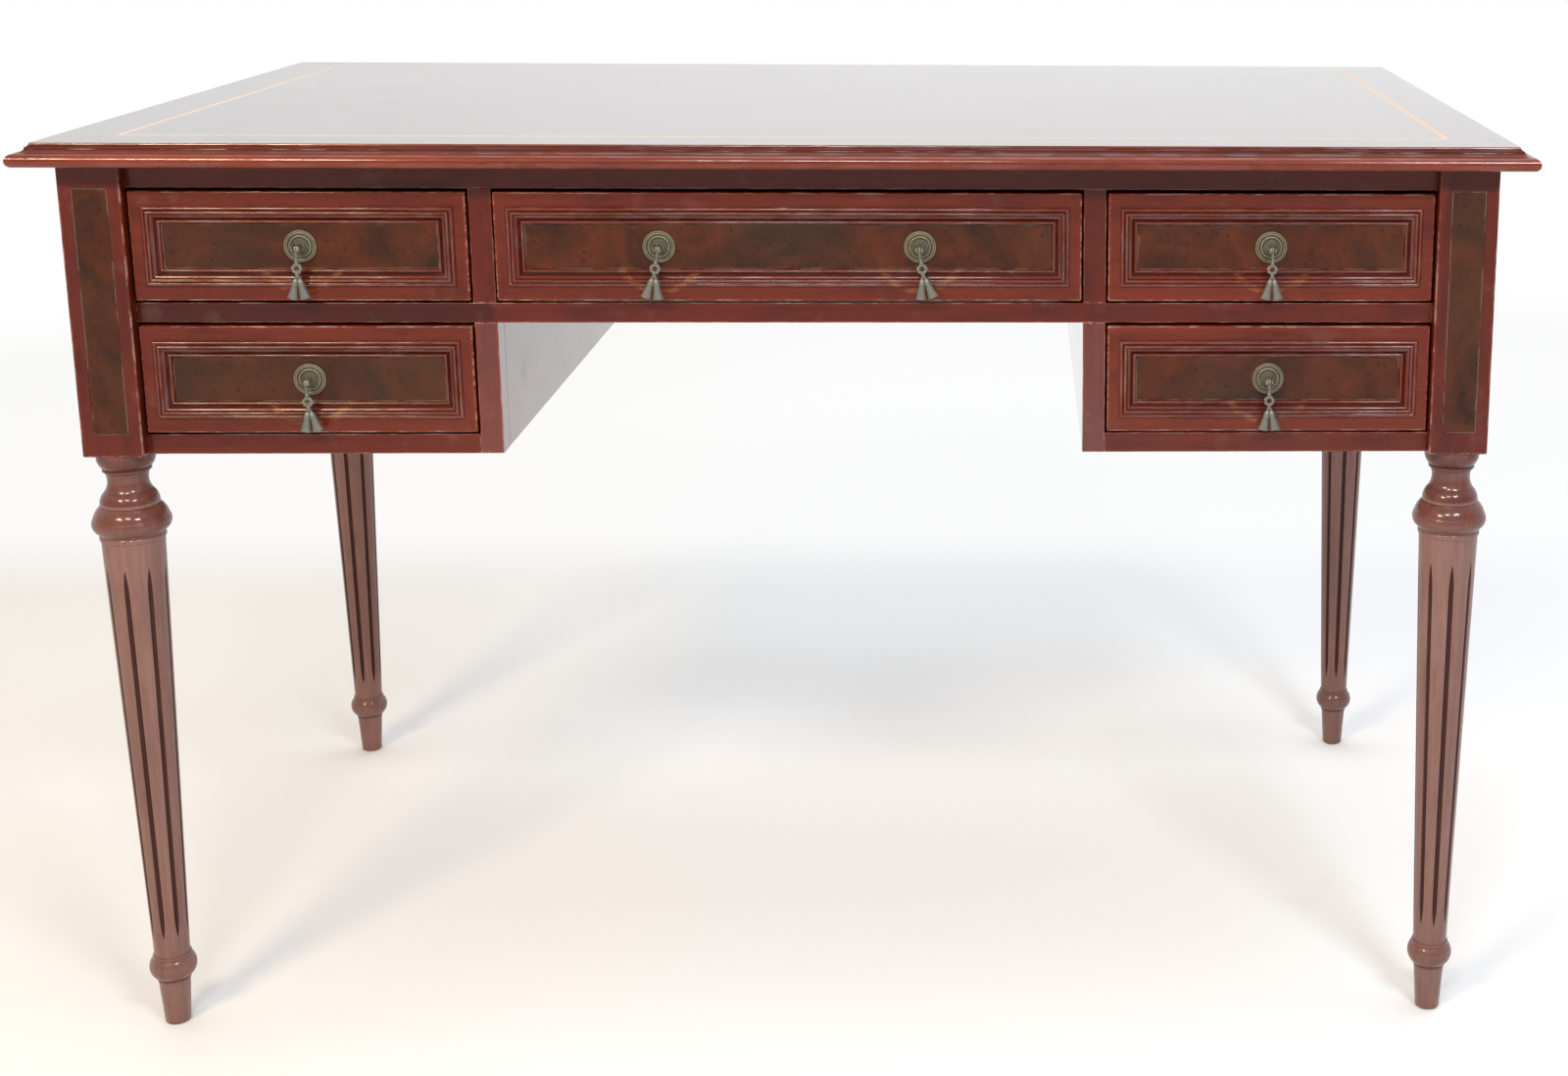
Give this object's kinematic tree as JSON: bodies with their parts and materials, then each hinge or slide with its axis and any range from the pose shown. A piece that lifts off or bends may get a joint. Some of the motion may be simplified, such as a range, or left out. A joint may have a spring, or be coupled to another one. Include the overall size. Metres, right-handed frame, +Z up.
{
  "type": "writing desk",
  "caption": "Mahogany writing desk with a moulded top, stacked drawers beside a kneehole, hanging tassel pulls, panelled posts and turned fluted legs.",
  "frame": {"origin": "on the floor, under the middle of the desk", "axes": "+X to the right along the front, +Y to the back, +Z up"},
  "size_m": [1.2, 0.7, 0.775],
  "materials": {
    "top_veneer": "polished dark mahogany veneer, worn gloss",
    "edge_wood": "polished red mahogany, chipped along the edges",
    "inlay_line": "light boxwood stringing under polish",
    "case_wood": "polished dark mahogany",
    "drawer_wood": "polished red mahogany",
    "moulding_wood": "polished red mahogany, worn on its ridges",
    "burl_field": "dark mottled burl veneer",
    "leg_wood": "satin mahogany",
    "inside_wood": "plain unpolished secondary wood",
    "aged_brass": "grey-green aged brass",
    "steel": "bright zinc-plated steel"
  },
  "bodies": {
    "desk": {"top_board": "top_veneer", "top_edge_moulding": "edge_wood", "top_inlaid_line": "inlay_line", "post_front_left": "case_wood", "post_front_right": "case_wood", "post_back_left": "case_wood", "post_back_right": "case_wood", "post_panels": "burl_field", "leg_front_left": "leg_wood", "leg_front_right": "leg_wood", "leg_back_left": "leg_wood", "leg_back_right": "leg_wood", "leg_bolts": "steel", "end_panel_left": "case_wood", "end_panel_right": "case_wood", "kneehole_panel_left": "case_wood", "kneehole_panel_right": "case_wood", "back_apron": "case_wood", "pedestal_backs": "case_wood", "front_top_rail": "case_wood", "front_middle_rail": "case_wood", "front_bottom_rails": "case_wood", "upper_stiles": "case_wood", "pedestal_stiles": "case_wood", "drawer_runners": "inside_wood", "drawer_kickers": "inside_wood", "drawer_stops": "inside_wood", "glue_blocks": "inside_wood", "top_screws": "steel"},
    "drawer_left_top": {"drawer_left_top_front": "drawer_wood", "drawer_left_top_moulding": "moulding_wood", "drawer_left_top_field": "burl_field", "drawer_left_top_box": "inside_wood", "pull_left_top_fittings": "aged_brass"},
    "pull_left_top": {"pull_left_top_drop": "aged_brass"},
    "drawer_left_bottom": {"drawer_left_bottom_front": "drawer_wood", "drawer_left_bottom_moulding": "moulding_wood", "drawer_left_bottom_field": "burl_field", "drawer_left_bottom_box": "inside_wood", "pull_left_bottom_fittings": "aged_brass"},
    "pull_left_bottom": {"pull_left_bottom_drop": "aged_brass"},
    "drawer_centre": {"drawer_centre_front": "drawer_wood", "drawer_centre_moulding": "moulding_wood", "drawer_centre_field": "burl_field", "drawer_centre_box": "inside_wood", "pull_centre_fittings": "aged_brass"},
    "pull_centre_left": {"pull_centre_left_drop": "aged_brass"},
    "pull_centre_right": {"pull_centre_right_drop": "aged_brass"},
    "drawer_right_top": {"drawer_right_top_front": "drawer_wood", "drawer_right_top_moulding": "moulding_wood", "drawer_right_top_field": "burl_field", "drawer_right_top_box": "inside_wood", "pull_right_top_fittings": "aged_brass"},
    "pull_right_top": {"pull_right_top_drop": "aged_brass"},
    "drawer_right_bottom": {"drawer_right_bottom_front": "drawer_wood", "drawer_right_bottom_moulding": "moulding_wood", "drawer_right_bottom_field": "burl_field", "drawer_right_bottom_box": "inside_wood", "pull_right_bottom_fittings": "aged_brass"},
    "pull_right_bottom": {"pull_right_bottom_drop": "aged_brass"}
  },
  "joints": [
    {"name": "drawer_left_top_slide", "type": "slide", "parent": "desk", "child": "drawer_left_top", "axis": [0, -1, 0], "range_m": [0, 0.4]},
    {"name": "pull_left_top_swing", "type": "hinge", "parent": "drawer_left_top", "child": "pull_left_top", "pos_m": [-0.3905, -0.3235, 0.68925], "axis": [-1, 0, 0], "range_deg": [-3, 90]},
    {"name": "drawer_left_bottom_slide", "type": "slide", "parent": "desk", "child": "drawer_left_bottom", "axis": [0, -1, 0], "range_m": [0, 0.4]},
    {"name": "pull_left_bottom_swing", "type": "hinge", "parent": "drawer_left_bottom", "child": "pull_left_bottom", "pos_m": [-0.3905, -0.3235, 0.5795], "axis": [-1, 0, 0], "range_deg": [-3, 90]},
    {"name": "drawer_centre_slide", "type": "slide", "parent": "desk", "child": "drawer_centre", "axis": [0, -1, 0], "range_m": [0, 0.4]},
    {"name": "pull_centre_left_swing", "type": "hinge", "parent": "drawer_centre", "child": "pull_centre_left", "pos_m": [-0.105, -0.3235, 0.68925], "axis": [-1, 0, 0], "range_deg": [-3, 90]},
    {"name": "pull_centre_right_swing", "type": "hinge", "parent": "drawer_centre", "child": "pull_centre_right", "pos_m": [0.105, -0.3235, 0.68925], "axis": [-1, 0, 0], "range_deg": [-3, 90]},
    {"name": "drawer_right_top_slide", "type": "slide", "parent": "desk", "child": "drawer_right_top", "axis": [0, -1, 0], "range_m": [0, 0.4]},
    {"name": "pull_right_top_swing", "type": "hinge", "parent": "drawer_right_top", "child": "pull_right_top", "pos_m": [0.3905, -0.3235, 0.68925], "axis": [-1, 0, 0], "range_deg": [-3, 90]},
    {"name": "drawer_right_bottom_slide", "type": "slide", "parent": "desk", "child": "drawer_right_bottom", "axis": [0, -1, 0], "range_m": [0, 0.4]},
    {"name": "pull_right_bottom_swing", "type": "hinge", "parent": "drawer_right_bottom", "child": "pull_right_bottom", "pos_m": [0.3905, -0.3235, 0.5795], "axis": [-1, 0, 0], "range_deg": [-3, 90]}
  ]
}
